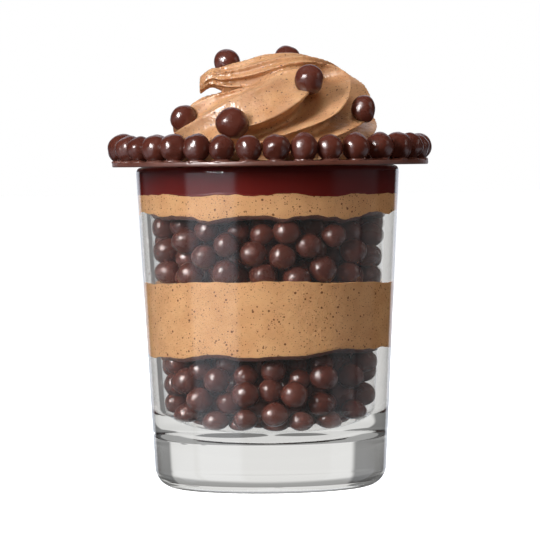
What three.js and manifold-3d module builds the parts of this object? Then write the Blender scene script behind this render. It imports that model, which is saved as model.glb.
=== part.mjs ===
// A layered chocolate mousse served in its small glass: crunchy pearls and mousse in turn, a dark
// red jelly up to the brim, and a thin chocolate disc on the rim that carries a ring of pearls
// round a piped swirl of mousse.
// Millimetres, +Z up, the origin at the middle of the foot, and the front towards -Y.

import * as THREE from "three";
import { mergeVertices } from "three/addons/utils/BufferGeometryUtils.js";
import Module from "manifold-3d";

const wasm = await Module();
wasm.setup();

// The glass
const GLASS_HEIGHT = 61.0;
const FOOT_RADIUS = 21.85; // of the outer wall carried down to the foot
const OUTER_SLOPE = 0.0532; // growth of the outer radius for each millimetre up
const BORE_RADIUS = 19.25; // of the inner wall carried down to the foot
const BORE_SLOPE = 0.062;
const FLOOR_HEIGHT = 9.0;
const FLOOR_FILLET = 6.7;
const FOOT_CORNER = 4.0;
const PUNT_RADIUS = 5.6;
const PUNT_DEPTH = 0.55;

// The layers
const CLEARANCE = 0.3; // between neighbouring solids
const PEARL_DIAMETER = 4.9;
const LOWER_MOUSSE_BOTTOM = 25.4;
const LOWER_MOUSSE_TOP = 39.1;
const UPPER_MOUSSE_BOTTOM = 51.1;
const UPPER_MOUSSE_TOP = 55.7;
const JELLY_TOP = 60.8;
const LIP_SET_BACK = 0.9; // how far the rounded lower lip of a layer stands back from the wall
const LIP_HEIGHT = 1.2;
const BUMP_DEPTH = 1.0; // of the gaps between the pearls at the outside of a heap
const END_DIP = 0.4; // of the gaps between the pearls at its top and bottom
const INNER_RING = 0.55; // of the bore: the inner ring of points on each level

// The disc and its ring of pearls
const DISC_RADIUS = 30.1;
const DISC_BOTTOM = 61.1;
const DISC_THICKNESS = 0.9;
const DISC_CENTRE_X = 0.5; // it was laid a little off the middle of the glass
const RING_PEARLS = 35;
const RING_RADIUS = 28.3;
const RING_FIRST_ANGLE = 2.4; // degrees from the front towards the right
const RING_SLACK = 3.5; // degrees of loose spacing at the right front

// The piped swirl
const RIDGES = 10;
const WIDE_GAP = 49; // degrees between two of the ridges; the rest are even
const CREST_ROUNDING = 0.12; // 0 for a sharp crest
const SWIRL_BOTTOM = DISC_BOTTOM + DISC_THICKNESS + CLEARANCE;

// What the nozzle's star section spans at each station, from the base up the right side and over to
// the tail at the left: both ends of the section in the plane y = 0, its half depth along Y, how far
// its ridges have turned, and how deep the valleys between them are beside the radius.
const SWIRL_STATIONS = [
  { inner: [-17.3, SWIRL_BOTTOM], outer: [19.3, SWIRL_BOTTOM], depth: 18.4, turn: 0, valley: 0.13 },
  { inner: [-18.6, 66.4], outer: [21.0, 66.4], depth: 19.6, turn: 40, valley: 0.15 },
  { inner: [-17.9, 69.6], outer: [21.1, 70.0], depth: 19.0, turn: 70, valley: 0.17 },
  { inner: [-15.9, 72.3], outer: [20.3, 73.6], depth: 17.6, turn: 86, valley: 0.18 },
  { inner: [-13.0, 74.1], outer: [18.9, 76.3], depth: 15.6, turn: 95, valley: 0.2 },
  { inner: [-9.4, 75.1], outer: [16.6, 78.4], depth: 13.0, turn: 108, valley: 0.22 },
  { inner: [-5.6, 75.6], outer: [13.4, 80.3], depth: 10.6, turn: 104, valley: 0.22 },
  { inner: [-2.6, 75.8], outer: [9.4, 81.8], depth: 8.8, turn: 78, valley: 0.21 },
  { inner: [-1.4, 76.1], outer: [4.8, 82.6], depth: 7.4, turn: 50, valley: 0.2 },
  { inner: [-2.4, 76.3], outer: [0.2, 82.6], depth: 6.4, turn: 36, valley: 0.2 },
  { inner: [-5.0, 76.3], outer: [-4.4, 81.8], depth: 5.6, turn: 34, valley: 0.19 },
  { inner: [-7.8, 76.3], outer: [-8.6, 80.6], depth: 4.7, turn: 33, valley: 0.18 },
  { inner: [-10.2, 76.3], outer: [-11.4, 79.3], depth: 3.6, turn: 32, valley: 0.16 },
  { inner: [-11.7, 75.4], outer: [-12.9, 77.0], depth: 2.2, turn: 31, valley: 0.12 },
];
const RIDGE_PHASE = -212; // degrees, of the ridge before the wide gap at the base
const MOUND_END = 8; // the station where the mound ends and the tail runs on alone

// Pearls on the swirl: the middle and the diameter of each.
const SWIRL_PEARLS = [
  { at: [-7.7, 3.9, 81.3], diameter: 5.1 },
  { at: [3.8, 4.9, 81.9], diameter: 4.8 },
  { at: [7.9, -10.8, 77.5], diameter: 5.5 },
  { at: [-16.4, -6.2, 70.6], diameter: 4.8 },
  { at: [-6.9, -17.3, 69.6], diameter: 5.5 },
  { at: [18.2, -7.0, 72.1], diameter: 4.7 },
];

const AROUND = 36; // segments round the glass and its layers

const degrees = (angle) => (angle * Math.PI) / 180;
const outerRadius = (z) => FOOT_RADIUS + OUTER_SLOPE * z;
const boreRadius = (z) => BORE_RADIUS + BORE_SLOPE * z;

const paint = {
  glass: () => new THREE.MeshStandardMaterial({ color: 0xdfe0dc, roughness: 0.04, metalness: 0 }),
  mousse: () => new THREE.MeshStandardMaterial({ color: 0xd0a078, roughness: 0.6, metalness: 0 }),
  pearl: () => new THREE.MeshStandardMaterial({ color: 0x55302a, roughness: 0.35, metalness: 0 }),
  jelly: () => new THREE.MeshStandardMaterial({ color: 0x4a120c, roughness: 0.15, metalness: 0 }),
  disc: () => new THREE.MeshStandardMaterial({ color: 0x6b4035, roughness: 0.4, metalness: 0 }),
};

function named(name, geometry, material) {
  const mesh = new THREE.Mesh(geometry, material);
  mesh.name = name;
  return mesh;
}

// ---- surfaces of revolution ----

// Points on an arc about (x, z), both ends included; the angles are in degrees.
function arc(x, z, radius, from, to, steps) {
  return Array.from({ length: steps + 1 }, (_, i) => {
    const angle = degrees(from + ((to - from) * i) / steps);
    return new THREE.Vector2(x + radius * Math.cos(angle), z + radius * Math.sin(angle));
  });
}

// Turns a profile of radius and height about Z.
function turned(profile, segments) {
  const geometry = new THREE.LatheGeometry(profile, segments);
  geometry.rotateX(Math.PI / 2);
  return geometry;
}

function glassProfile() {
  const outerTilt = (Math.atan(OUTER_SLOPE) * 180) / Math.PI;
  const boreTilt = (Math.atan(BORE_SLOPE) * 180) / Math.PI;
  const wallTop = outerRadius(GLASS_HEIGHT) - boreRadius(GLASS_HEIGHT);
  const lip = wallTop / 2;
  const lipHeight = GLASS_HEIGHT - lip;
  const lipMiddle = (outerRadius(lipHeight) + boreRadius(lipHeight)) / 2;
  const cornerMiddle = outerRadius(FOOT_CORNER) - FOOT_CORNER;
  const filletMiddle = boreRadius(FLOOR_HEIGHT + FLOOR_FILLET) - FLOOR_FILLET;
  const puntCurve = (PUNT_RADIUS ** 2 + PUNT_DEPTH ** 2) / (2 * PUNT_DEPTH);
  const puntAngle = (Math.asin(PUNT_RADIUS / puntCurve) * 180) / Math.PI;
  return [
    ...arc(0, PUNT_DEPTH - puntCurve, puntCurve, 90, 90 - puntAngle, 2),
    ...arc(cornerMiddle, FOOT_CORNER, FOOT_CORNER, -90, -outerTilt, 4),
    ...arc(lipMiddle, lipHeight, lip, -outerTilt, 180 - boreTilt, 4),
    ...arc(filletMiddle, FLOOR_HEIGHT + FLOOR_FILLET, FLOOR_FILLET, -boreTilt, -90, 4),
    new THREE.Vector2(0, FLOOR_HEIGHT),
  ];
}

function glass() {
  return named("glass", turned(glassProfile(), AROUND), paint.glass());
}

function chocolateDisc() {
  const edge = 0.2;
  const top = DISC_BOTTOM + DISC_THICKNESS;
  const profile = [
    new THREE.Vector2(0, DISC_BOTTOM),
    new THREE.Vector2(DISC_RADIUS - edge, DISC_BOTTOM),
    new THREE.Vector2(DISC_RADIUS, DISC_BOTTOM + edge),
    new THREE.Vector2(DISC_RADIUS, top - edge),
    new THREE.Vector2(DISC_RADIUS - edge, top),
    new THREE.Vector2(0, top),
  ];
  const disc = named("chocolate_disc", turned(profile, AROUND), paint.disc());
  disc.position.x = DISC_CENTRE_X;
  return disc;
}

// ---- layers in the glass ----

const fillRadius = (z) => boreRadius(z) - CLEARANCE;

// The bore with the fillet at its floor, less the clearance.
function heapRadius(z) {
  const above = FLOOR_HEIGHT + FLOOR_FILLET - z;
  if (above <= 0) {
    return fillRadius(z);
  }
  const middle = boreRadius(FLOOR_HEIGHT + FLOOR_FILLET) - FLOOR_FILLET;
  const radius = FLOOR_FILLET - CLEARANCE;
  return middle + Math.sqrt(Math.max(0, radius ** 2 - above ** 2));
}

// A level inside the glass: a mean height and a sum of cosines round the glass that dies away towards
// the middle. Each term is [turns, height, degrees from the front].
function wavy(mean, terms) {
  return (angle, reach) =>
    terms.reduce(
      (sum, [turns, height, phase]) =>
        sum + height * reach ** 2 * Math.cos(turns * angle - degrees(phase)),
      mean,
    );
}

const lowerMousseBottom = wavy(LOWER_MOUSSE_BOTTOM, [[1, 0.7, 105], [5, 0.3, 200], [11, 0.16, 40]]);
const lowerMousseTop = wavy(LOWER_MOUSSE_TOP, [[1, 0.4, -15], [3, 0.2, -20], [8, 0.13, 60]]);
const upperMousseBottom = wavy(UPPER_MOUSSE_BOTTOM, [[2, 0.3, 190], [5, 0.28, 20], [11, 0.32, 250]]);
const upperMousseTop = wavy(UPPER_MOUSSE_TOP, [[1, 0.12, -90], [6, 0.14, 0], [11, 0.16, 130]]);

// A ring of points round the glass, each placed by reachAt and heightAt.
function ring(reachAt, heightAt) {
  return Array.from({ length: AROUND }, (_, i) => {
    const angle = (2 * Math.PI * i) / AROUND;
    const reach = reachAt(angle, i);
    return [reach * Math.sin(angle), -reach * Math.cos(angle), heightAt(angle, i)];
  });
}

// A layer that fills the bore between two uneven levels.
function layerGeometry(bottom, top) {
  const across = (level, part) =>
    ring((angle) => part * fillRadius(level(angle, 1)), (angle) => level(angle, part));
  const setBack = ring(
    (angle) => fillRadius(bottom(angle, 1)) - LIP_SET_BACK,
    (angle) => bottom(angle, 1),
  );
  const lip = ring(
    (angle) => fillRadius(bottom(angle, 1)),
    (angle) => bottom(angle, 1) + LIP_HEIGHT,
  );
  const rings = [across(bottom, INNER_RING), setBack, lip, across(top, 1), across(top, INNER_RING)];
  return closedRings([0, 0, bottom(0, 0)], rings, [0, 0, top(0, 0)]);
}

// The closed surface through a first point, equal rings and a last point.
function closedRings(first, rings, last) {
  const around = rings[0].length;
  const index = [];
  const at = (row, i) => 1 + row * around + (i % around);
  const end = 1 + rings.length * around;
  for (let i = 0; i < around; i += 1) {
    index.push(0, at(0, i + 1), at(0, i));
    index.push(end, at(rings.length - 1, i), at(rings.length - 1, i + 1));
    for (let row = 0; row < rings.length - 1; row += 1) {
      index.push(at(row, i), at(row, i + 1), at(row + 1, i + 1));
      index.push(at(row, i), at(row + 1, i + 1), at(row + 1, i));
    }
  }
  const geometry = new THREE.BufferGeometry();
  const points = [first, ...rings.flat(), last].flat();
  geometry.setAttribute("position", new THREE.Float32BufferAttribute(points, 3));
  geometry.setIndex(index);
  return geometry;
}

// A heap of pearls out to its uneven outline: courses of round bumps that lie in each other's gaps.
function heapGeometry(bottom, top, courses) {
  const bumps = AROUND / 2;
  const dip = (i) => (i % 2 === 0 ? 0 : END_DIP);
  const low = ring(
    (angle) => INNER_RING * heapRadius(bottom(angle, 1)),
    (angle, i) => bottom(angle, INNER_RING) + dip(i),
  );
  const high = ring(
    (angle) => INNER_RING * heapRadius(top(angle, 1)),
    (angle, i) => top(angle, INNER_RING) - dip(i),
  );
  const rows = Array.from({ length: 2 * courses + 1 }, (_, row) => {
    const share = row / (2 * courses);
    const height = (angle) =>
      bottom(angle, 1) + END_DIP + (top(angle, 1) - bottom(angle, 1) - 2 * END_DIP) * share;
    const shift = Math.PI * (Math.floor(row / 2) % 2);
    const inset = (angle) => (row % 2 === 0 ? 1 : 0.5 - 0.5 * Math.cos(bumps * angle + shift));
    return ring((angle) => heapRadius(height(angle)) - BUMP_DEPTH * inset(angle), height);
  });
  const rings = [low, ...rows, high];
  return closedRings([0, 0, bottom(0, 0)], rings, [0, 0, top(0, 0)]);
}

function layers() {
  const flat = (height) => () => height;
  const under = (level) => (angle, reach) => level(angle, reach) - CLEARANCE;
  const over = (level) => (angle, reach) => level(angle, reach) + CLEARANCE;
  return [
    named(
      "pearls_lower",
      heapGeometry(flat(FLOOR_HEIGHT + CLEARANCE), under(lowerMousseBottom), 4),
      paint.pearl(),
    ),
    named("mousse_lower", layerGeometry(lowerMousseBottom, lowerMousseTop), paint.mousse()),
    named(
      "pearls_upper",
      heapGeometry(over(lowerMousseTop), under(upperMousseBottom), 3),
      paint.pearl(),
    ),
    named("mousse_upper", layerGeometry(upperMousseBottom, upperMousseTop), paint.mousse()),
    named("jelly", layerGeometry(over(upperMousseTop), flat(JELLY_TOP)), paint.jelly()),
  ];
}

// ---- the swirl ----

// A smooth curve through the values, read at a fractional index.
function smooth(values, place) {
  const last = values.length - 1;
  const i = Math.min(Math.floor(place), last - 1);
  const t = place - i;
  const [a, b, c, d] = [i - 1, i, i + 1, i + 2].map((k) => values[Math.min(Math.max(k, 0), last)]);
  return b + 0.5 * t * (c - a + t * (2 * a - 5 * b + 4 * c - d + t * (3 * (b - c) + d - a)));
}

function station(place) {
  const read = (pick) => smooth(SWIRL_STATIONS.map(pick), place);
  return {
    inner: [read((s) => s.inner[0]), read((s) => s.inner[1])],
    outer: [read((s) => s.outer[0]), read((s) => s.outer[1])],
    depth: read((s) => s.depth),
    turn: read((s) => s.turn),
    valley: read((s) => s.valley),
  };
}

// How far out the star section reaches, of 1 at the crest of a ridge. The angle runs from the ridge
// before the wide gap, whose valley is half as deep.
function star(angle, valley) {
  const wide = degrees(WIDE_GAP);
  const even = (2 * Math.PI - wide) / (RIDGES - 1);
  const share = angle < wide ? angle / wide : (angle - wide) / even;
  const depth = angle < wide ? valley / 2 : valley;
  return 1 - depth * (Math.hypot(Math.sin(Math.PI * share), CREST_ROUNDING) - CREST_ROUNDING);
}

// The angles of a ring of points on the star: the same number between each ridge and the next.
function starAngles(perRidge) {
  const wide = degrees(WIDE_GAP);
  const even = (2 * Math.PI - wide) / (RIDGES - 1);
  return Array.from({ length: RIDGES * perRidge }, (_, i) => {
    const ridge = i / perRidge;
    return ridge < 1 ? ridge * wide : wide + (ridge - 1) * even;
  });
}

function swirlPoint(place, angle, scale) {
  const s = station(place);
  const reach = star(angle, s.valley) * scale;
  const turned = angle + degrees(RIDGE_PHASE + s.turn);
  const along = 0.5 + 0.5 * reach * Math.cos(turned);
  return [
    s.inner[0] + (s.outer[0] - s.inner[0]) * along,
    s.depth * reach * Math.sin(turned),
    s.inner[1] + (s.outer[1] - s.inner[1]) * along,
  ];
}

// The swirl between two stations as rings of the star section, closed by a point at each end.
function sweep(from, to, steps, scaleAt) {
  const middle = (place) => {
    const s = station(place);
    return [(s.inner[0] + s.outer[0]) / 2, 0, (s.inner[1] + s.outer[1]) / 2];
  };
  const rings = Array.from({ length: steps + 1 }, (_, row) => {
    const place = from + ((to - from) * row) / steps;
    return starAngles(4).map((angle) => swirlPoint(place, angle, scaleAt(place)));
  });
  return closedRings(middle(from), rings, middle(to));
}

function solid(geometry) {
  const bare = geometry.clone();
  bare.deleteAttribute("normal");
  bare.deleteAttribute("uv");
  const merged = mergeVertices(bare, 1e-4);
  return new wasm.Manifold(
    new wasm.Mesh({
      numProp: 3,
      vertProperties: new Float32Array(merged.attributes.position.array),
      triVerts: new Uint32Array(merged.index.array),
    }),
  );
}

function fromSolid(body) {
  const mesh = body.getMesh();
  const geometry = new THREE.BufferGeometry();
  geometry.setAttribute("position", new THREE.BufferAttribute(mesh.vertProperties, 3));
  geometry.setIndex(new THREE.BufferAttribute(mesh.triVerts, 1));
  return geometry;
}

function pearlGeometry(diameter) {
  return new THREE.IcosahedronGeometry(diameter / 2, 1);
}

function swirl() {
  const last = SWIRL_STATIONS.length - 1;
  // The tail starts inside the mound and comes out through the mound's end.
  const mound = sweep(0, MOUND_END, 14, (place) => (place === MOUND_END ? 0.95 : 1));
  const tail = sweep(MOUND_END - 1, last, 8, (place) => (place < MOUND_END ? 0.85 : 1));
  let body = solid(mound).add(solid(tail));
  for (const pearl of SWIRL_PEARLS) {
    const seat = pearlGeometry(pearl.diameter + 2 * CLEARANCE);
    seat.translate(...pearl.at);
    body = body.subtract(solid(seat));
  }
  // Specks of air shut in the crease and thin crumbs beside a seat are left out.
  body = body.decompose().reduce((best, shell) => (shell.volume() > best.volume() ? shell : best));
  return named("swirl", fromSolid(body), paint.mousse());
}

// ---- loose pearls ----

function swirlPearls() {
  return SWIRL_PEARLS.map((pearl, i) => {
    const mesh = named(`swirl_pearl_${i + 1}`, pearlGeometry(pearl.diameter), paint.pearl());
    mesh.position.set(...pearl.at);
    return mesh;
  });
}

// The angle of each ring pearl from the front. The slack opens between 24 and 55 degrees and is
// taken up again round the back.
function ringAngle(i) {
  const even = RING_FIRST_ANGLE + (360 * i) / RING_PEARLS;
  const opened = THREE.MathUtils.smoothstep(even, 24, 55);
  const closed = THREE.MathUtils.smoothstep(even, 90, 350);
  return degrees(even + RING_SLACK * (opened - closed));
}

function ringPearls() {
  const rest = DISC_BOTTOM + DISC_THICKNESS + CLEARANCE / 2;
  return Array.from({ length: RING_PEARLS }, (_, i) => {
    const diameter = PEARL_DIAMETER - 0.12 + 0.1 * Math.sin(2.4 * i);
    const mesh = named(`ring_pearl_${i + 1}`, pearlGeometry(diameter), paint.pearl());
    const angle = ringAngle(i);
    mesh.position.set(
      DISC_CENTRE_X + RING_RADIUS * Math.sin(angle),
      -RING_RADIUS * Math.cos(angle),
      rest + diameter / 2,
    );
    return mesh;
  });
}

const dessert = new THREE.Group();
dessert.add(glass(), ...layers(), chocolateDisc(), swirl(), ...ringPearls(), ...swirlPearls());

export default dessert;
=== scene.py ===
"""A layered chocolate mousse in its glass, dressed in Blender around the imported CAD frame."""

import math
import random

import bmesh
import bpy
import numpy as np
from mathutils import Euler, Matrix, Vector, noise


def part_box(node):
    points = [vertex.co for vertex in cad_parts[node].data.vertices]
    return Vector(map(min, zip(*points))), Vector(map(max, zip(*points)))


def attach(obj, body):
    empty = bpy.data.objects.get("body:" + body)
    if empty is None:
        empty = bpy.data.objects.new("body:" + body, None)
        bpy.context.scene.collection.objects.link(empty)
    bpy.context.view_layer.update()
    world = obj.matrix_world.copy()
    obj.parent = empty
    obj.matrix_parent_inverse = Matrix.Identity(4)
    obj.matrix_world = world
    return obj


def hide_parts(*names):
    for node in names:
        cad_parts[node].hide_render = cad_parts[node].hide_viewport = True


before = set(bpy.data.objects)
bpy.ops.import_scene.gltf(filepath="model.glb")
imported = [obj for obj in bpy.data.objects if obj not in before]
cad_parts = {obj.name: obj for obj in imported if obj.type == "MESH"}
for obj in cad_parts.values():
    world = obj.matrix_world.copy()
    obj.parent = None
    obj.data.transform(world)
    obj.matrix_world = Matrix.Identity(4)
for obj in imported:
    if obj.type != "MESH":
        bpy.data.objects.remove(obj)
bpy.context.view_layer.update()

MM = 0.001
BODY = "root"

# ---- sizes in millimetres, as the CAD source has them ----

GLASS_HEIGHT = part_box("glass")[1][2] / MM
FOOT_RADIUS = 21.85
OUTER_SLOPE = 0.0532
BORE_RADIUS = 19.25
BORE_SLOPE = 0.062
FLOOR_HEIGHT = 9.0
FLOOR_FILLET = 6.7
FOOT_CORNER = 4.0
PUNT_RADIUS = 5.6
PUNT_DEPTH = 0.55

LOWER_MOUSSE_BOTTOM = 25.4
LOWER_MOUSSE_TOP = 39.1
UPPER_MOUSSE_BOTTOM = 51.1
UPPER_MOUSSE_TOP = 55.7
LIP_SET_BACK = 0.9
LIP_HEIGHT = 1.2
PEARL_DIAMETER = 4.9
PEARL_CLEARANCE = 0.12  # between a pearl and the glass

DISC_LOW, DISC_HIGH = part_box("chocolate_disc")
DISC_BOTTOM = DISC_LOW[2] / MM
DISC_TOP = DISC_HIGH[2] / MM
DISC_CENTRE_X = (DISC_LOW[0] + DISC_HIGH[0]) / 2 / MM
DISC_RADIUS = 30.1

WALL_BITE = 0.06  # how far what fills the glass reaches into its wall
LAYER_SIDES = 288

SWIRL_BOTTOM = DISC_TOP + 0.05
SWIRL_ROWS, SWIRL_SIDES = 190, 200
SWIRL_VOXEL = 0.28
RIDGES = 10
WIDE_GAP = math.radians(49)  # the broad face at the front lies between the first two ridges
WIDE_GAP_DEPTH, HOLLOW_DEPTH, LAST_GAP_DEPTH = 0.3, 1.4, 0.5  # of a valley's depth
CREST_ROUNDING = 0.07
RIDGE_PHASE = math.radians(-212)
TAIL_RUFFLE = 0.16
TAIL_START = 9.6  # the station at which the tail's ruffles begin

# Each station of the piped swirl: both ends of the nozzle's section in the plane y = 0 (x and z),
# its half depth along y, how far its ridges have turned in degrees, and how deep its valleys are.
SWIRL_STATIONS = np.array([
    (-17.3, SWIRL_BOTTOM, 19.3, SWIRL_BOTTOM, 18.4, 0, 0.20),
    (-18.6, 66.4, 21.0, 66.4, 19.6, 40, 0.23),
    (-17.9, 69.6, 21.1, 70.0, 19.0, 70, 0.28),
    (-15.9, 72.3, 20.3, 73.6, 17.6, 86, 0.38),
    (-13.0, 74.1, 18.9, 76.3, 15.6, 95, 0.50),
    (-9.4, 75.1, 16.6, 78.4, 13.0, 108, 0.50),
    (-5.6, 75.6, 13.4, 80.3, 10.6, 104, 0.30),
    (-2.6, 75.8, 9.4, 81.8, 8.8, 78, 0.22),
    (-1.4, 75.6, 4.8, 82.6, 7.4, 50, 0.18),
    (-2.6, 75.2, 0.2, 82.5, 6.4, 36, 0.20),
    (-5.4, 75.0, -4.6, 81.2, 5.8, 34, 0.22),
    (-8.4, 75.3, -8.4, 80.3, 5.2, 33, 0.24),
    (-10.6, 76.0, -10.9, 79.7, 4.2, 32, 0.20),
    (-12.7, 74.7, -12.7, 78.3, 2.4, 31, 0.12),
])


def outer_radius(z):
    return FOOT_RADIUS + OUTER_SLOPE * z


def bore_radius(z):
    return BORE_RADIUS + BORE_SLOPE * z


# ---- node helpers ----


def new_material(name):
    material = bpy.data.materials.new(name)
    material.use_nodes = True
    nodes = material.node_tree.nodes
    nodes.clear()
    output = nodes.new("ShaderNodeOutputMaterial")
    shader = nodes.new("ShaderNodeBsdfPrincipled")
    material.node_tree.links.new(shader.outputs[0], output.inputs[0])
    return material, shader, output


class Graph:
    """Short calls for the nodes that the materials and the world share."""

    def __init__(self, tree, coordinates="Object"):
        self.tree = tree
        self.place = self.add("ShaderNodeTexCoord").outputs[coordinates]

    def add(self, kind, **settings):
        node = self.tree.nodes.new(kind)
        for key, value in settings.items():
            setattr(node, key, value)
        return node

    def link(self, source, target):
        self.tree.links.new(source, target)

    def noise(self, scale, detail=2.0):
        node = self.add("ShaderNodeTexNoise")
        node.inputs["Scale"].default_value = scale
        node.inputs["Detail"].default_value = detail
        self.link(self.place, node.inputs["Vector"])
        return node.outputs["Fac"]

    def voronoi(self, scale):
        node = self.add("ShaderNodeTexVoronoi")
        node.inputs["Scale"].default_value = scale
        self.link(self.place, node.inputs["Vector"])
        return node

    def ramp(self, source, low, high, from_value=0.0, to_value=1.0):
        node = self.add("ShaderNodeMapRange")
        node.inputs["From Min"].default_value = low
        node.inputs["From Max"].default_value = high
        node.inputs["To Min"].default_value = from_value
        node.inputs["To Max"].default_value = to_value
        self.link(source, node.inputs["Value"])
        return node.outputs["Result"]

    def math(self, operation, a, b):
        node = self.add("ShaderNodeMath", operation=operation)
        for socket, value in zip(node.inputs, (a, b)):
            if isinstance(value, (int, float)):
                socket.default_value = value
            else:
                self.link(value, socket)
        return node.outputs[0]

    def mix(self, factor, first, second):
        node = self.add("ShaderNodeMix", data_type="RGBA")
        self.link(factor, node.inputs["Factor"])
        for socket, value in ((node.inputs[6], first), (node.inputs[7], second)):
            if isinstance(value, tuple):
                socket.default_value = (*value, 1)
            else:
                self.link(value, socket)
        return node.outputs[2]

    def bump(self, height, distance, strength, normal=None):
        node = self.add("ShaderNodeBump")
        node.inputs["Distance"].default_value = distance
        node.inputs["Strength"].default_value = strength
        self.link(height, node.inputs["Height"])
        if normal is not None:
            self.link(normal, node.inputs["Normal"])
        return node.outputs["Normal"]


def linear(red, green, blue):
    """A display colour of 0 to 255 as scene-linear values."""
    return tuple(
        v / 12.92 if v <= 0.04045 else ((v + 0.055) / 1.055) ** 2.4
        for v in (red / 255, green / 255, blue / 255)
    )


# ---- materials ----


def speck_mask(g, scale, largest, share):
    """One where a dark speck lies: small balls in some of the cells of a solid pattern."""
    cells = g.voronoi(scale)
    split = g.add("ShaderNodeSeparateColor")
    g.link(cells.outputs["Color"], split.inputs[0])
    size = g.ramp(split.outputs["Red"], 1 - share, 1.0, 0.0, largest)
    return g.ramp(g.math("SUBTRACT", size, cells.outputs["Distance"]), 0.0, 0.04)


def mousse_material(name, light, dark, wet):
    """Airy chocolate mousse with dark specks. Where it is wet it has patches of gloss."""
    material, shader, _ = new_material(name)
    g = Graph(material.node_tree)
    tone = g.mix(g.ramp(g.noise(260, detail=3), 0.35, 0.65), dark, light)
    specks = g.math("MAXIMUM", speck_mask(g, 1050, 0.27, 0.8), speck_mask(g, 1900, 0.30, 0.8))
    specks = g.math("MAXIMUM", specks, g.math("MULTIPLY", speck_mask(g, 3200, 0.4, 0.7), 0.5))
    colour = g.mix(g.math("MULTIPLY", specks, 0.85), tone, linear(86, 46, 28))
    g.link(colour, shader.inputs["Base Color"])
    fine = g.bump(g.noise(2400, detail=2), 0.00014, 0.5)
    normal = g.bump(g.noise(700, detail=4), 0.0004, 0.4 + 0.25 * wet, fine)
    g.link(normal, shader.inputs["Normal"])
    gloss = g.ramp(g.noise(150, detail=4), 0.48, 0.58, 0.62, 0.62 - 0.3 * wet)
    g.link(gloss, shader.inputs["Roughness"])
    shader.inputs["Subsurface Weight"].default_value = 0.12
    shader.inputs["Subsurface Radius"].default_value = (1.0, 0.5, 0.25)
    shader.inputs["Subsurface Scale"].default_value = 0.0009
    shader.inputs["Specular IOR Level"].default_value = 0.05 + 0.45 * wet
    return material


def pearl_material():
    material, shader, _ = new_material("pearl_chocolate")
    g = Graph(material.node_tree)
    tone = g.mix(g.ramp(g.noise(90, detail=2), 0.3, 0.7), linear(72, 33, 25), linear(87, 43, 33))
    g.link(tone, shader.inputs["Base Color"])
    normal = g.bump(g.noise(420, detail=2), 0.0005, 0.42)
    g.link(g.bump(g.noise(2600, detail=2), 0.00008, 0.6, normal), shader.inputs["Normal"])
    g.link(g.ramp(g.noise(300, detail=3), 0.3, 0.7, 0.18, 0.33), shader.inputs["Roughness"])
    shader.inputs["Specular IOR Level"].default_value = 0.5
    return material


def jelly_material():
    material, shader, _ = new_material("dark_jelly")
    g = Graph(material.node_tree)
    tone = g.mix(g.ramp(g.noise(60, detail=2), 0.35, 0.65), linear(84, 15, 11), linear(98, 26, 22))
    g.link(tone, shader.inputs["Base Color"])
    g.link(g.bump(g.noise(150, detail=2), 0.0004, 0.2), shader.inputs["Normal"])
    shader.inputs["Roughness"].default_value = 0.3
    shader.inputs["Specular IOR Level"].default_value = 0.05
    return material


def disc_material():
    material, shader, _ = new_material("disc_chocolate")
    g = Graph(material.node_tree)
    tone = g.mix(g.ramp(g.noise(110, detail=4), 0.3, 0.7), linear(84, 46, 36), linear(106, 62, 50))
    g.link(tone, shader.inputs["Base Color"])
    g.link(g.bump(g.noise(500, detail=4), 0.0004, 0.35), shader.inputs["Normal"])
    g.link(g.ramp(g.noise(260, detail=3), 0.3, 0.7, 0.3, 0.45), shader.inputs["Roughness"])
    return material


def glass_material():
    """Clear glass that lets the lamps' light through to what it holds. It lets a ray out straight
    that has been mirrored inside the wall twice, or has bounced more than six times in all."""
    material, shader, output = new_material("clear_glass")
    g = Graph(material.node_tree)
    shader.inputs["Base Color"].default_value = (0.985, 0.99, 0.985, 1)
    shader.inputs["Transmission Weight"].default_value = 1.0
    shader.inputs["IOR"].default_value = 1.5
    shader.inputs["Roughness"].default_value = 0.0
    clear = g.add("ShaderNodeBsdfTransparent")
    clear.inputs[0].default_value = (0.96, 0.965, 0.96, 1)
    paths = g.add("ShaderNodeLightPath")
    matt = g.math("MAXIMUM", paths.outputs["Is Shadow Ray"], paths.outputs["Is Diffuse Ray"])
    guided = g.math(
        "MULTIPLY",
        g.math("COMPARE", paths.outputs["Transmission Depth"], 1),
        g.math("GREATER_THAN", paths.outputs["Ray Depth"], 2.5),
    )
    trapped = g.math("MAXIMUM", guided, g.math("GREATER_THAN", paths.outputs["Ray Depth"], 6.5))
    mixed = g.add("ShaderNodeMixShader")
    g.link(g.math("MAXIMUM", matt, trapped), mixed.inputs[0])
    g.link(shader.outputs[0], mixed.inputs[1])
    g.link(clear.outputs[0], mixed.inputs[2])
    g.link(mixed.outputs[0], output.inputs[0])
    return material


def floor_material():
    """Pale paper, so brightly lit that it is all but white in the shadow too."""
    material, shader, _ = new_material("studio_floor")
    g = Graph(material.node_tree)
    tone = g.mix(g.noise(4, detail=2), (0.86, 0.86, 0.86), (0.9, 0.9, 0.9))
    g.link(tone, shader.inputs["Base Color"])
    shader.inputs["Roughness"].default_value = 0.8
    shader.inputs["Emission Color"].default_value = (1, 1, 1, 1)
    shader.inputs["Emission Strength"].default_value = 0.92
    return material


# The piped mousse is given a darker colour than the mousse in the glass: painted shade that tones
# down the stronger light on the swirl.
SWIRL_MOUSSE = mousse_material("mousse_piped", linear(191, 145, 103), linear(177, 128, 88), 1.0)
LAYER_MOUSSE = mousse_material("mousse_in_glass", linear(214, 164, 117), linear(203, 152, 106), 0)
PEARL = pearl_material()
# Painted shade: a darker mousse for the set-back lip under each layer, where its shadow falls.
LIP_SHADE_MOUSSE = mousse_material("mousse_lip_painted_shade", linear(84, 44, 32), linear(66, 33, 25), 0.5)
JELLY = jelly_material()
DISC = disc_material()
GLASS = glass_material()


# ---- mesh helpers ----


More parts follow.
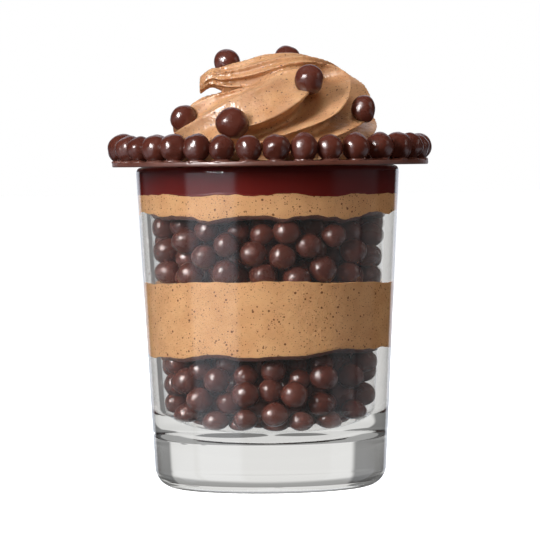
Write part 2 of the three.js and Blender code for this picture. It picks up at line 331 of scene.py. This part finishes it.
def make_piece(name, points, faces, material, nodes):
    """A smooth mesh object from points in millimetres that stands for the named CAD nodes."""
    mesh = bpy.data.meshes.new(name)
    mesh.from_pydata((np.asarray(points) * MM).tolist(), [], faces)
    mesh.validate()
    mesh.polygons.foreach_set("use_smooth", [True] * len(mesh.polygons))
    mesh.materials.append(material)
    mesh.update()
    piece = bpy.data.objects.new(name, mesh)
    bpy.context.scene.collection.objects.link(piece)
    if nodes:
        dress(piece, nodes)
    return piece


def dress(piece, nodes):
    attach(piece, BODY)
    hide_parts(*nodes)


def closed_rings(first, rings, last):
    """The closed surface through a first point, equal rings and a last point."""
    around = len(rings[0])
    points = [first] + [point for ring in rings for point in ring] + [last]
    end = len(points) - 1
    top_ring = end - around
    faces = []
    for i in range(around):
        j = (i + 1) % around
        faces.append((0, 1 + j, 1 + i))
        faces.append((end, top_ring + i, top_ring + j))
        for row in range(len(rings) - 1):
            low = 1 + row * around
            high = low + around
            faces.append((low + i, low + j, high + j, high + i))
    return points, faces


def arc(x, z, radius, start, stop, steps):
    """Points on an arc about (x, z); the angles are in degrees."""
    angles = np.radians(np.linspace(start, stop, steps + 1))
    return [(x + radius * math.cos(a), z + radius * math.sin(a)) for a in angles]


def lathe(profile, around):
    """Rings of a profile of radius and height, turned about z. Both its ends are on the axis."""
    angles = np.linspace(0, 2 * math.pi, around, endpoint=False)
    rings = [
        [(radius * math.sin(a), -radius * math.cos(a), z) for a in angles]
        for radius, z in profile[1:-1]
    ]
    return closed_rings((0, 0, profile[0][1]), rings, (0, 0, profile[-1][1]))


def ripple(point, scale, seed):
    """Smooth noise from -1 to 1 at a point in millimetres."""
    return noise.noise(Vector(point) / scale + Vector((seed * 7.3, seed * 3.1, seed * 5.7)))


# ---- the glass ----


def glass_profile():
    outer_tilt = math.degrees(math.atan(OUTER_SLOPE))
    bore_tilt = math.degrees(math.atan(BORE_SLOPE))
    lip = (outer_radius(GLASS_HEIGHT) - bore_radius(GLASS_HEIGHT)) / 2
    lip_height = GLASS_HEIGHT - lip
    lip_middle = (outer_radius(lip_height) + bore_radius(lip_height)) / 2
    corner_middle = outer_radius(FOOT_CORNER) - FOOT_CORNER
    fillet_middle = bore_radius(FLOOR_HEIGHT + FLOOR_FILLET) - FLOOR_FILLET
    punt_curve = (PUNT_RADIUS**2 + PUNT_DEPTH**2) / (2 * PUNT_DEPTH)
    punt_angle = math.degrees(math.asin(PUNT_RADIUS / punt_curve))
    profile = arc(0, PUNT_DEPTH - punt_curve, punt_curve, 90, 90 - punt_angle, 8)
    profile += arc(corner_middle, FOOT_CORNER, FOOT_CORNER, -90, -outer_tilt, 16)
    wall_foot = profile[-1]
    rim = arc(lip_middle, lip_height, lip, -outer_tilt, 180 - bore_tilt, 16)
    profile += along(wall_foot, rim[0], 12) + rim
    fillet = arc(fillet_middle, FLOOR_HEIGHT + FLOOR_FILLET, FLOOR_FILLET, -bore_tilt, -90, 16)
    profile += along(rim[-1], fillet[0], 12) + fillet
    profile += along(fillet[-1], (0, FLOOR_HEIGHT), 4) + [(0, FLOOR_HEIGHT)]
    return profile


def along(start, stop, steps):
    """The points strictly between two others."""
    return [
        tuple(a + (b - a) * i / steps for a, b in zip(start, stop))
        for i in range(1, steps)
    ]


def make_glass():
    points, faces = lathe(glass_profile(), 192)
    make_piece("tumbler", points, faces, GLASS, ["glass"])


# ---- the layers ----


def wavy(mean, terms, roughness, seed):
    """A level in the glass: its mean height, cosines round the glass that die away towards the
    middle, and small unevenness. Each term is (turns, height, degrees from the front)."""

    def level(angle, reach):
        swell = sum(
            height * reach**2 * math.cos(turns * angle - math.radians(phase))
            for turns, height, phase in terms
        )
        place = (22 * reach * math.sin(angle), -22 * reach * math.cos(angle), mean)
        uneven = ripple(place, 2.6, seed) + 0.5 * ripple(place, 1.1, seed + 1)
        return mean + swell + roughness * uneven

    return level


lower_mousse_bottom = wavy(
    LOWER_MOUSSE_BOTTOM, [(1, 0.7, 105), (5, 0.3, 200), (11, 0.16, 40)], 0.22, 1
)
lower_mousse_top = wavy(
    LOWER_MOUSSE_TOP, [(1, 0.4, -15), (3, 0.2, -20), (8, 0.13, 60)], 0.18, 3
)
upper_mousse_bottom = wavy(
    UPPER_MOUSSE_BOTTOM, [(2, 0.3, 190), (5, 0.28, 20), (11, 0.32, 250)], 0.35, 5
)
upper_mousse_top = wavy(
    UPPER_MOUSSE_TOP, [(1, 0.12, -90), (6, 0.14, 0), (11, 0.16, 130)], 0.25, 7
)


def layer(bottom, top, lip=LIP_HEIGHT):
    """A filling of the bore between two levels, with a rounded lower lip that is set back."""
    angles = np.linspace(0, 2 * math.pi, LAYER_SIDES, endpoint=False)

    def ring(radius_at, height_at):
        return [
            (radius_at(a) * math.sin(a), -radius_at(a) * math.cos(a), height_at(a)) for a in angles
        ]

    rings = []
    for part in (0.25, 0.5, 0.75, 0.9):
        rings.append(ring(
            lambda a: part * bore_radius(bottom(a, 1)),
            lambda a: bottom(a, part),
        ))
    for turn in np.radians(np.linspace(0, 90, 9)):
        set_back = LIP_SET_BACK * (1 - math.sin(turn)) * (1 if lip else 0)
        rise = lip * (1 - math.cos(turn))
        rings.append(ring(
            lambda a: bore_radius(bottom(a, 1) + rise) + WALL_BITE - set_back,
            lambda a: bottom(a, 1) + rise,
        ))
    for share in 1 - np.linspace(0.95, 0, 18) ** 1.7:
        height = lambda a: bottom(a, 1) + lip + (top(a, 1) - bottom(a, 1) - lip) * share
        rings.append(ring(lambda a: side_radius(height(a)) + WALL_BITE, height))
    for part in (0.97, 0.9, 0.75, 0.5, 0.25):
        rings.append(ring(
            lambda a: part * side_radius(top(a, 1)),
            lambda a: top(a, part),
        ))
    return closed_rings((0, 0, bottom(0, 0)), rings, (0, 0, top(0, 0)))


def side_radius(z):
    """The inside of the glass, out to the middle of its rounded lip."""
    lip = (outer_radius(GLASS_HEIGHT) - bore_radius(GLASS_HEIGHT)) / 2
    over = min(lip, z - GLASS_HEIGHT + lip)
    if over <= 0:
        return bore_radius(z)
    return bore_radius(GLASS_HEIGHT - lip) + lip - math.sqrt(lip**2 - over**2)


def paint_lip_shade(piece, bottom):
    """Paints shade on the lower side of a layer, up to the turn of its lip: a darker mousse that
    stands for the shadow under the set-back lip.
    """
    piece.data.materials.append(LIP_SHADE_MOUSSE)
    for face in piece.data.polygons:
        x, y, z = face.center / MM
        rise = z - bottom(math.atan2(x, -y), 1)
        if rise < 0.62 * LIP_HEIGHT:
            face.material_index = 1


def make_layers():
    for place, bottom, top in (
        ("lower", lower_mousse_bottom, lower_mousse_top),
        ("upper", upper_mousse_bottom, upper_mousse_top),
    ):
        points, faces = layer(bottom, top)
        piece = make_piece(
            "mousse_layer_" + place, points, faces, LAYER_MOUSSE, ["mousse_" + place]
        )
        paint_lip_shade(piece, bottom)
    jelly_bottom = lambda a, reach: upper_mousse_top(a, reach) - 0.02
    jelly_top = lambda a, reach: DISC_BOTTOM - 0.04
    points, faces = layer(jelly_bottom, jelly_top, lip=0)
    make_piece("jelly_layer", points, faces, JELLY, ["jelly"])


# ---- pearls ----


def icosphere(level):
    ball = bmesh.new()
    bmesh.ops.create_icosphere(ball, subdivisions=level, radius=1)
    points = np.array([v.co[:] for v in ball.verts])
    faces = [[v.index for v in f.verts] for f in ball.faces]
    ball.free()
    return points, faces


BALLS = {level: icosphere(level) for level in (3, 4)}
HEAP_LUMPS, LOOSE_LUMPS, FOOTING_LUMPS = 0.026, 0.045, 0.1  # height of the swells, of a radius
ABOUT_A_TURN = 6.28

# How a heap is shaken: the number of shakes, how far one moves a pearl at first, how much of an
# overlap it undoes, and how far it moves the pearls of the front in and the others out.
SHAKES = 420
SHAKE = 0.1
UNDONE = 0.45
DRIFT_IN, DRIFT_OUT = -0.05, 0.06
FRONT_Y = -8
CORE_REACH = 10.0  # no loose pearl's middle is nearer the axis
SMALL_RADIUS = 2.4


def lumpy_ball(centre, diameter, seed, lumps, level=4):
    """A slightly uneven pearl: a ball with a few broad swells, turned at random."""
    unit, faces = BALLS[level]
    draw = random.Random(seed)
    swell = np.zeros(len(unit))
    for _ in range(7):
        wave = np.array([draw.gauss(0, 1) for _ in range(3)]) * 2.6
        swell += lumps / 2.6 * np.sin(unit @ wave + draw.uniform(0, ABOUT_A_TURN))
    squash = np.array([1 + draw.uniform(-0.025, 0.025) for _ in range(3)])
    turn = np.array(Euler([draw.uniform(0, ABOUT_A_TURN) for _ in range(3)]).to_matrix())
    points = (unit * squash * (1 + swell)[:, None]) @ turn.T
    return np.asarray(centre) + points * diameter / 2, faces


def joined_balls(balls):
    points, faces = [], []
    for ball_points, ball_faces in balls:
        offset = sum(len(p) for p in points)
        points.append(ball_points)
        faces += [[i + offset for i in face] for face in ball_faces]
    return np.concatenate(points), faces


def wall_reach(z, radius):
    """How far from the axis a ball at this height can be before it touches the glass."""
    below_wall = FLOOR_HEIGHT + FLOOR_FILLET - z
    radius += PEARL_CLEARANCE
    if below_wall <= 0:
        return bore_radius(z) - radius
    middle = bore_radius(FLOOR_HEIGHT + FLOOR_FILLET) - FLOOR_FILLET
    return middle + math.sqrt(max(0, (FLOOR_FILLET - radius) ** 2 - below_wall**2))


def placed(pearl):
    """The middle of a pearl of the front, given its side position, height, set-back and size."""
    x, z, set_back, diameter = pearl
    reach = wall_reach(z, diameter / 2)
    x = max(-0.995 * reach, min(0.995 * reach, x))
    return x, -math.sqrt(reach**2 - x**2) + set_back, z


def settle(front, count, floor, ceiling, seed):
    """Middles and diameters of pearls: those of the front, which stay, and others shaken until
    they fit round them between two levels, the wall and a core. Others that end up in the front
    layer are left out."""
    draw = np.random.default_rng(seed)
    fixed = len(front)
    diameters = np.concatenate([
        [pearl[3] for pearl in front],
        draw.normal(PEARL_DIAMETER - 0.1, 0.22, count).clip(4.2, 5.3),
    ])
    radii = diameters / 2
    angle = draw.uniform(0, 2 * math.pi, count)
    inside_wall = wall_reach(floor + 7, SMALL_RADIUS)
    reach = draw.uniform(CORE_REACH, inside_wall, count)
    loose_ones = np.stack([
        reach * np.sin(angle),
        -reach * np.cos(angle),
        draw.uniform(floor + SMALL_RADIUS, ceiling - SMALL_RADIUS, count),
    ], axis=1)
    kept = np.array([placed(pearl) for pearl in front])
    at = np.concatenate([kept, loose_ones])
    for step in range(SHAKES):
        loose = 1 - step / SHAKES
        at += draw.normal(0, SHAKE * loose, at.shape)
        apart = at[:, None, :] - at[None, :, :]
        distance = np.linalg.norm(apart, axis=2) + np.eye(len(at)) * 99
        overlap = np.maximum(0, radii[:, None] + radii[None, :] - distance)
        at += UNDONE * (apart / distance[:, :, None] * overlap[:, :, None]).sum(axis=1)
        front_side = (at[:, 1] < FRONT_Y)[:, None]
        flat = np.linalg.norm(at[:, :2], axis=1)[:, None] + 1e-9
        outward = at[:, :2] / flat
        at[:, :2] += outward * np.where(front_side, DRIFT_IN, DRIFT_OUT)
        limit = np.array([wall_reach(z, r) for z, r in zip(at[:, 2], radii)])[:, None]
        reach = np.linalg.norm(at[:, :2], axis=1)[:, None]
        at[:, :2] = outward * np.clip(reach, CORE_REACH, limit)
        at[:, 2] = np.clip(at[:, 2], floor + radii, ceiling - radii)
        at[:fixed] = kept
    reach = np.linalg.norm(at[:, :2], axis=1)
    shown = (at[:, 1] > -0.55 * reach) | (reach < inside_wall - 2.6)
    shown[:fixed] = True
    return at[shown], diameters[shown]


def heap(name, node, front, count, floor, ceiling, seed):
    """Loose pearls over a smaller core."""
    middles, diameters = settle(front, count, floor, ceiling, seed)
    shells = ([], [])
    for i, (middle, diameter) in enumerate(zip(middles, diameters)):
        hidden = math.hypot(middle[0], middle[1]) < wall_reach(middle[2], diameter / 2) - 3.5
        level = 3 if hidden else 4
        ball = lumpy_ball(middle, diameter, seed * 1000 + i, HEAP_LUMPS, level)
        shells[hidden].append(ball)
    for part, balls in zip(("outer", "inner"), shells):
        points, faces = joined_balls(balls)
        make_piece(f"{name}_{part}", points, faces, PEARL, [node])
    gap, corner, flat = 0.4, 1.5, 9.4
    core = [(0, floor + gap)] + arc(flat, floor + gap + corner, corner, -90, 0, 5)
    core += arc(flat, ceiling - gap - corner, corner, 0, 90, 5) + [(0, ceiling - gap)]
    points, faces = lathe(core, 64)
    uneven = []
    for x, y, z in points:
        swell = 1 + 0.03 * ripple((x, y, z), 2.4, seed)
        uneven.append((x * swell, y * swell, z))
    make_piece(name + "_core", uneven, faces, PEARL, [node])


# The pearls that lie against the front of the glass: side position, height, how far they are
# set back from the wall, and diameter.
LOWER_FRONT = [
    (-18.0, 23.4, 0, 4.5), (-12.6, 22.9, 3.0, 4.5), (-9.6, 21.2, 0.4, 4.8), (-4.4, 21.8, 3.2, 4.5),
    (0.7, 22.9, 2.6, 4.8), (5.4, 21.0, 3.0, 4.4), (9.7, 21.5, 0, 4.9), (14.8, 21.4, 1.6, 4.9),
    (18.2, 22.1, 0, 4.7), (-15.1, 20.8, 0, 4.9), (-12.6, 17.4, 0, 4.7), (-7.5, 16.7, 2.6, 4.4),
    (-4.4, 18.6, 0, 5.1), (0.1, 19.1, 1.8, 4.6), (4.4, 18.4, 0, 5.0), (9.1, 16.5, 0.9, 4.8),
    (17.4, 17.6, 0, 4.6), (-17.4, 16.3, 0, 4.4), (-14.9, 14.4, 0, 4.6), (-9.8, 12.9, 0, 4.9),
    (-4.4, 13.6, 0, 4.6), (0.9, 14.6, 0, 5.0), (5.5, 13.0, 0, 4.6), (10.6, 12.7, 0, 4.7),
    (15.0, 14.6, 0.4, 4.6),
]
UPPER_FRONT = [
    (-19.5, 49.5, 0, 4.7), (-14.9, 47.2, 0, 5.1), (-11.1, 49.2, 1.6, 4.6), (-7.6, 46.5, 0, 4.7),
    (-5.4, 48.9, 4.2, 4.5), (-1.1, 48.4, 1.6, 4.5), (3.3, 48.9, 0, 4.9), (7.2, 46.2, 0, 4.8),
    (11.8, 48.0, 0, 4.6), (15.3, 45.0, 0, 4.8), (18.9, 47.9, 0, 4.6), (-18.9, 45.2, 0, 4.9),
    (-14.8, 43.9, 3.4, 4.5), (-11.5, 44.2, 0, 4.8), (-2.7, 44.8, 0, 4.9), (2.5, 44.2, 0, 5.0),
    (9.7, 41.8, 0, 5.2), (19.4, 43.6, 0, 4.6), (-18.5, 41.1, 0, 4.9), (-14.2, 40.9, 0.2, 4.7),
    (-7.8, 41.3, 0, 5.0), (-0.9, 40.6, 0.2, 5.0), (5.0, 40.0, 0, 5.1), (14.3, 40.7, 0.6, 4.6),
    (18.6, 40.1, 0, 4.6),
]


def make_heaps():
    floor, ceiling = FLOOR_HEIGHT + 0.02, LOWER_MOUSSE_BOTTOM + 0.9
    heap("pearl_heap_lower", "pearls_lower", LOWER_FRONT, 128, floor, ceiling, 11)
    floor, ceiling = LOWER_MOUSSE_TOP - 1.4, UPPER_MOUSSE_BOTTOM + 1.2
    heap("pearl_heap_upper", "pearls_upper", UPPER_FRONT, 100, floor, ceiling, 12)


ROUNDED = 1.045  # a ball's width, of the faceted ball's
RING_SINK = 0.12  # how far the ring's pearls are pressed into the disc
FOOTING_SIZE = (1.9, 1.9, 0.55)  # the half widths of the chocolate under each of them

# How each pearl on the swirl sits in it: a shift from its CAD seat, its width and its height.
SWIRL_PEARL_FIT = {
    "1": ((0.3, 0, -0.35), 1.0, 1.0),
    "2": ((0.1, 0, -0.3), 0.97, 1.0),
    "3": ((0.1, -3.3, -0.4), 0.9, 1.02),
    "4": ((0.7, -0.3, -0.35), 1.0, 1.02),
    "5": ((0.4, -0.6, -0.5), 1.08, 0.98),
    "6": ((0, -1.6, -0.55), 0.93, 1.1),
}


def make_loose_pearls():
    """A smooth pearl on the place of each faceted one, and the chocolate that holds the ring."""
    names = sorted(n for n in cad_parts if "_pearl_" in n)
    ring = []
    for i, node in enumerate(names):
        low, high = (np.array(corner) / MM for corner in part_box(node))
        middle, diameter = (low + high) / 2, float((high - low).mean()) * ROUNDED
        if node.startswith("ring"):
            diameter *= 1.035 + 0.05 * math.sin(5.1 * i)  # uneven, without a pattern
            middle[2] = DISC_TOP + diameter / 2 - RING_SINK
            ring.append(middle)
        else:
            shift, wide, tall = SWIRL_PEARL_FIT[node[-1]]
            middle = middle + shift
        points, faces = lumpy_ball(middle, diameter, 500 + i, LOOSE_LUMPS)
        if not node.startswith("ring"):
            points = middle + (points - middle) * (wide, wide, tall)
        make_piece("round_" + node, points, faces, PEARL, [node])
    balls = []
    for i, middle in enumerate(ring):
        points, faces = lumpy_ball((0, 0, 0), 2.0, 900 + i, FOOTING_LUMPS, 3)
        balls.append((points * FOOTING_SIZE + (middle[0], middle[1], DISC_TOP), faces))
    points, faces = joined_balls(balls)
    piece = make_piece("pearl_footing", points, faces, DISC, [])
    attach(piece, BODY)


# ---- the disc ----


def make_disc():
    edge = 0.22
    middle = (DISC_BOTTOM + DISC_TOP) / 2
    profile = [(0, DISC_BOTTOM)] + [(r, DISC_BOTTOM) for r in (10, 20, 28)]
    profile += arc(DISC_RADIUS - edge, DISC_BOTTOM + edge, edge, -90, 0, 4)
    profile += [(DISC_RADIUS + 0.02, middle)]
    profile += arc(DISC_RADIUS - edge, DISC_TOP - edge, edge, 0, 90, 4)
    profile += [(r, DISC_TOP) for r in (28, 20, 10)] + [(0, DISC_TOP)]
    points, faces = lathe(profile, 240)
    uneven = []
    for x, y, z in points:
        reach = math.hypot(x, y)
        swell = 1 + 0.0022 * ripple((x, y, 0), 4.0, 21) * (reach > 25)
        uneven.append((DISC_CENTRE_X + x * swell, y * swell, z))
    make_piece("disc", uneven, faces, DISC, ["chocolate_disc"])


# ---- the swirl ----


def smooth(values, place):
    """A smooth curve through the rows of values, read at a fractional row."""
    last = len(values) - 1
    i = min(int(place), last - 1)
    t = place - i
    a, b, c, d = (values[min(max(k, 0), last)] for k in (i - 1, i, i + 1, i + 2))
    return b + 0.5 * t * (c - a + t * (2 * a - 5 * b + 4 * c - d + t * (3 * (b - c) + d - a)))


def star(angle, valley, ruffle):
    """How far out the star section reaches, of 1 at a crest."""
    even = (2 * math.pi - WIDE_GAP) / (RIDGES - 1)
    share = angle / WIDE_GAP if angle < WIDE_GAP else (angle - WIDE_GAP) / even
    depth = valley
    if angle < WIDE_GAP:
        depth *= WIDE_GAP_DEPTH
    elif share < 1:
        depth *= HOLLOW_DEPTH
    elif share > RIDGES - 2:
        depth *= LAST_GAP_DEPTH
    groove = math.hypot(math.sin(math.pi * share), CREST_ROUNDING) - CREST_ROUNDING
    fine = abs(math.sin(2 * math.pi * share))
    return 1 - depth * groove - ruffle * fine


def swirl_rings():
    """Rings of points along the swirl, from its foot to the tip of its tail."""
    rings = []
    for place in np.linspace(0, len(SWIRL_STATIONS) - 1, SWIRL_ROWS):
        inner_x, inner_z, outer_x, outer_z, depth, turn, valley = smooth(SWIRL_STATIONS, place)
        ruffle = TAIL_RUFFLE * min(1, max(0, (place - TAIL_START) / 1.5))
        ring = []
        for angle in np.linspace(0, 2 * math.pi, SWIRL_SIDES, endpoint=False):
            reach = star(angle, valley, ruffle)
            turned = angle + RIDGE_PHASE + math.radians(turn)
            share = 0.5 + 0.5 * reach * math.cos(turned)
            ring.append((
                inner_x + (outer_x - inner_x) * share,
                depth * reach * math.sin(turned),
                inner_z + (outer_z - inner_z) * share,
            ))
        rings.append(ring)
    return rings


def make_swirl():
    rings = swirl_rings()
    first = np.mean(rings[0], axis=0)
    last = np.mean(rings[-1], axis=0)
    points, faces = closed_rings(first, rings, last)
    piece = make_piece("swirl_piped", points, faces, SWIRL_MOUSSE, [])
    remesh(piece, SWIRL_VOXEL)
    relief(piece)
    dress(piece, ["swirl"])


def apply_modifiers(piece):
    graph = bpy.context.evaluated_depsgraph_get()
    mesh = bpy.data.meshes.new_from_object(piece.evaluated_get(graph))
    old = piece.data
    piece.modifiers.clear()
    piece.data = mesh
    bpy.data.meshes.remove(old)


def remesh(piece, voxel):
    modifier = piece.modifiers.new("remesh", "REMESH")
    modifier.mode = "VOXEL"
    modifier.voxel_size = voxel * MM
    modifier.use_smooth_shade = True
    smoothing = piece.modifiers.new("smooth", "SMOOTH")
    smoothing.factor = 0.5
    smoothing.iterations = 3
    apply_modifiers(piece)
    piece.data.materials.clear()
    piece.data.materials.append(SWIRL_MOUSSE)


def relief(piece):
    """Small unevenness all over the piped surface."""
    mesh = piece.data
    count = len(mesh.vertices)
    places, normals = np.empty(count * 3), np.empty(count * 3)
    mesh.vertices.foreach_get("co", places)
    mesh.vertex_normals.foreach_get("vector", normals)
    places, normals = places.reshape(-1, 3), normals.reshape(-1, 3)
    push = np.array([
        0.10 * ripple(place, 3.2, 31) + 0.035 * ripple(place, 0.9, 32) for place in places / MM
    ])
    mesh.vertices.foreach_set("co", (places + normals * push[:, None] * MM).ravel())
    mesh.update()


# ---- the studio ----


def make_floor():
    half, below = 6000, -0.06
    corners = ((-1, -1), (1, -1), (1, 1), (-1, 1))
    points = [(half * x, half * y, below) for x, y in corners]
    floor = make_piece("studio_floor", points, [(0, 1, 2, 3)], floor_material(), [])
    floor.visible_glossy = False
    floor.visible_transmission = False
    floor.visible_diffuse = False


def make_camera():
    distance = 750
    frame_width = 103.0  # millimetres across the picture at the object
    aim = Vector((0.27, 0, 41.2))
    horizon = 62.5
    camera_data = bpy.data.cameras.new("camera")
    camera_data.sensor_width = 36
    camera_data.lens = 36 * distance / frame_width
    camera_data.clip_start = 0.05
    camera = bpy.data.objects.new("camera", camera_data)
    bpy.context.scene.collection.objects.link(camera)
    place = Vector((aim.x, -math.sqrt(distance**2 - (horizon - aim.z) ** 2), horizon))
    look = (aim - place).to_track_quat("-Z", "Y")
    roll = Matrix.Rotation(math.radians(-0.65), 4, "Z")
    camera.matrix_world = Matrix.Translation(place * MM) @ look.to_matrix().to_4x4() @ roll
    bpy.context.scene.camera = camera


def area_light(name, azimuth, elevation, distance, width, height, watts, colour=(1, 1, 1)):
    """A soft box that faces the object. Azimuth is from the front towards the right."""
    data = bpy.data.lights.new(name, "AREA")
    data.shape = "RECTANGLE"
    data.size = width
    data.size_y = height
    data.energy = watts
    data.color = colour
    light = bpy.data.objects.new(name, data)
    bpy.context.scene.collection.objects.link(light)
    a, e = math.radians(azimuth), math.radians(elevation)
    aim = Vector((0, 0, 0.045))
    offset = Vector((math.sin(a) * math.cos(e), -math.cos(a) * math.cos(e), math.sin(e)))
    light.location = aim + offset * distance
    light.rotation_euler = (-offset).to_track_quat("-Z", "Y").to_euler()
    return light


class Sky(Graph):
    """The world round the object, put together from soft-edged panels of light. Azimuths and
    elevations are in degrees."""

    def __init__(self, tree):
        super().__init__(tree, "Generated")
        split = self.add("ShaderNodeSeparateXYZ")
        self.link(self.place, split.inputs[0])
        x, y, z = split.outputs
        self.from_back = self.degrees(self.math("ARCTAN2", x, y))
        self.from_front = self.degrees(self.math("ARCTAN2", x, self.math("MULTIPLY", y, -1)))
        self.elevation = self.degrees(self.math("ARCSINE", z, 0))

    def degrees(self, angle):
        return self.math("MULTIPLY", angle, 180 / math.pi)

    def step(self, value, start, stop):
        """From 0 to 1 while the value goes from start to stop, with soft ends."""
        node = self.add("ShaderNodeMapRange", interpolation_type="SMOOTHSTEP")
        node.inputs["From Min"].default_value = start
        node.inputs["From Max"].default_value = stop
        self.link(value, node.inputs["Value"])
        return node.outputs["Result"]

    def window(self, value, low, high, soft):
        rise = self.step(value, low - soft, low + soft)
        fall = self.step(value, high + soft, high - soft)
        return self.math("MULTIPLY", rise, fall)

    def panel(self, around, low, high, bottom, top, soft, strength):
        """A panel between two azimuths and two elevations."""
        area = self.math(
            "MULTIPLY",
            self.window(around, low, high, soft),
            self.window(self.elevation, bottom, top, soft),
        )
        return self.math("MULTIPLY", area, strength)

    def background(self, strength, colour=(1, 1, 1)):
        node = self.add("ShaderNodeBackground")
        if isinstance(strength, (int, float)):
            node.inputs["Strength"].default_value = strength
        else:
            self.link(strength, node.inputs["Strength"])
        node.inputs["Color"].default_value = (*colour, 1)
        return node.outputs[0]

    def choose(self, factor, first, second):
        node = self.add("ShaderNodeMixShader")
        for socket, value in zip(node.inputs, (factor, first, second)):
            self.link(value, socket)
        return node.outputs[0]


def mirrored_light(sky):
    """What the surfaces mirror: dark but for a wall behind, open at the elevations that the glass
    mirrors towards a camera behind it, a bright panel front left, and dimmer ones at the sides."""
    light = 0.015
    for panel in (
        sky.panel(sky.from_back, -26, 26, -90, -34, 6, 0.9),
        sky.panel(sky.from_back, -26, 26, -9, 50, 4, 0.9),
        sky.panel(sky.from_front, -76, -29, -40, 3, 4, 1.2),
        sky.panel(sky.from_front, -140, -76, -40, 3, 6, 0.14),
        sky.panel(sky.from_front, -112, -82, -40, -8.5, 2, 0.7),
        sky.panel(sky.from_front, 62, 128, -40, -8.5, 2, 0.5),
        sky.panel(sky.from_front, 60, 112, -40, 10, 6, 0.12),
    ):
        light = sky.math("ADD", panel, light)
    return light


def refracted_light(sky):
    """What shows through the glass: white, but for a grey strip at each side of the back wall, a
    dim band low in front, about half as much light from above, and a little less from below."""
    grey_right = sky.window(sky.from_back, 47, 84, 2)
    grey_left = sky.window(sky.from_back, -82, -33, 2)
    light = 0.8
    for shade in (
        sky.math("MULTIPLY", sky.math("ADD", grey_right, grey_left), 0.7),
        sky.panel(sky.from_front, -100, 100, -15, -4.2, 1.5, 0.6),
        sky.math("MULTIPLY", sky.step(sky.elevation, 7, 13), 0.55),
        sky.math("MULTIPLY", sky.step(sky.elevation, -28, -40), 0.1),
    ):
        light = sky.math("MULTIPLY", sky.math("SUBTRACT", 1, shade), light)
    return light


def make_world():
    """White to the camera, soft light from behind to matt surfaces, and a light of its own to
    what the surfaces mirror and to what the glass refracts."""
    world = bpy.data.worlds.new("studio")
    bpy.context.scene.world = world
    world.use_nodes = True
    world.node_tree.nodes.clear()
    sky = Sky(world.node_tree)
    paths = sky.add("ShaderNodeLightPath")
    is_glossy = paths.outputs["Is Glossy Ray"]
    times_refracted = paths.outputs["Transmission Depth"]
    # A ray mirrored inside the wall sees the white world, and one mirrored by a pearl behind the
    # wall sees the dark one.
    in_wall = sky.math("MULTIPLY", sky.math("COMPARE", times_refracted, 1), is_glossy)
    off_contents = sky.math(
        "MULTIPLY",
        sky.math("GREATER_THAN", times_refracted, 3.5),
        sky.math("COMPARE", paths.outputs["Glossy Depth"], 1),
    )
    through = sky.math("MAXIMUM", paths.outputs["Is Transmission Ray"], in_wall)
    through = sky.math("MULTIPLY", through, sky.math("SUBTRACT", 1, off_contents))
    soft = sky.panel(sky.from_back, -75, 75, -30, 60, 12, 0.3)
    shader = sky.background(sky.math("ADD", soft, 0.025))
    mirrored = sky.background(mirrored_light(sky), (0.92, 0.97, 1.08))
    shader = sky.choose(is_glossy, shader, mirrored)
    refracted = sky.background(refracted_light(sky), (1.0, 0.99, 0.97))
    shader = sky.choose(through, shader, refracted)
    shader = sky.choose(paths.outputs["Is Camera Ray"], shader, sky.background(1.0))
    output = sky.add("ShaderNodeOutputWorld")
    sky.link(shader, output.inputs[0])


def make_studio():
    make_floor()
    make_camera()
    make_world()
    shaded = [
        area_light("key", -44, 21, 0.9, 0.3, 0.44, 9.8),
        area_light("front_fill", 8, 14, 1.1, 0.5, 0.4, 2.2, (1, 0.9, 0.8)),
        area_light("top_fill", 0, 76, 0.9, 0.4, 0.4, 3.8),
        area_light("back_fill", 165, 28, 0.9, 0.5, 0.5, 4.0),
        area_light("right_fill", 92, 18, 0.9, 0.3, 0.6, 2.2, (1, 0.92, 0.84)),
    ]
    for lamp in shaded:
        lamp.visible_transmission = False
        lamp.visible_glossy = False
    area_light("key_sparkle", -46, 22, 0.8, 0.24, 0.32, 20).visible_diffuse = False
    area_light("right_sheen", 92, 24, 0.9, 0.16, 0.24, 0.35).visible_diffuse = False
    scene = bpy.context.scene
    scene.view_settings.view_transform = "Standard"
    scene.cycles.use_denoising = True
    scene.cycles.max_bounces = 24
    scene.cycles.transmission_bounces = 20
    scene.cycles.transparent_max_bounces = 24


make_glass()
make_layers()
make_heaps()
make_disc()
make_swirl()
make_loose_pearls()
make_studio()
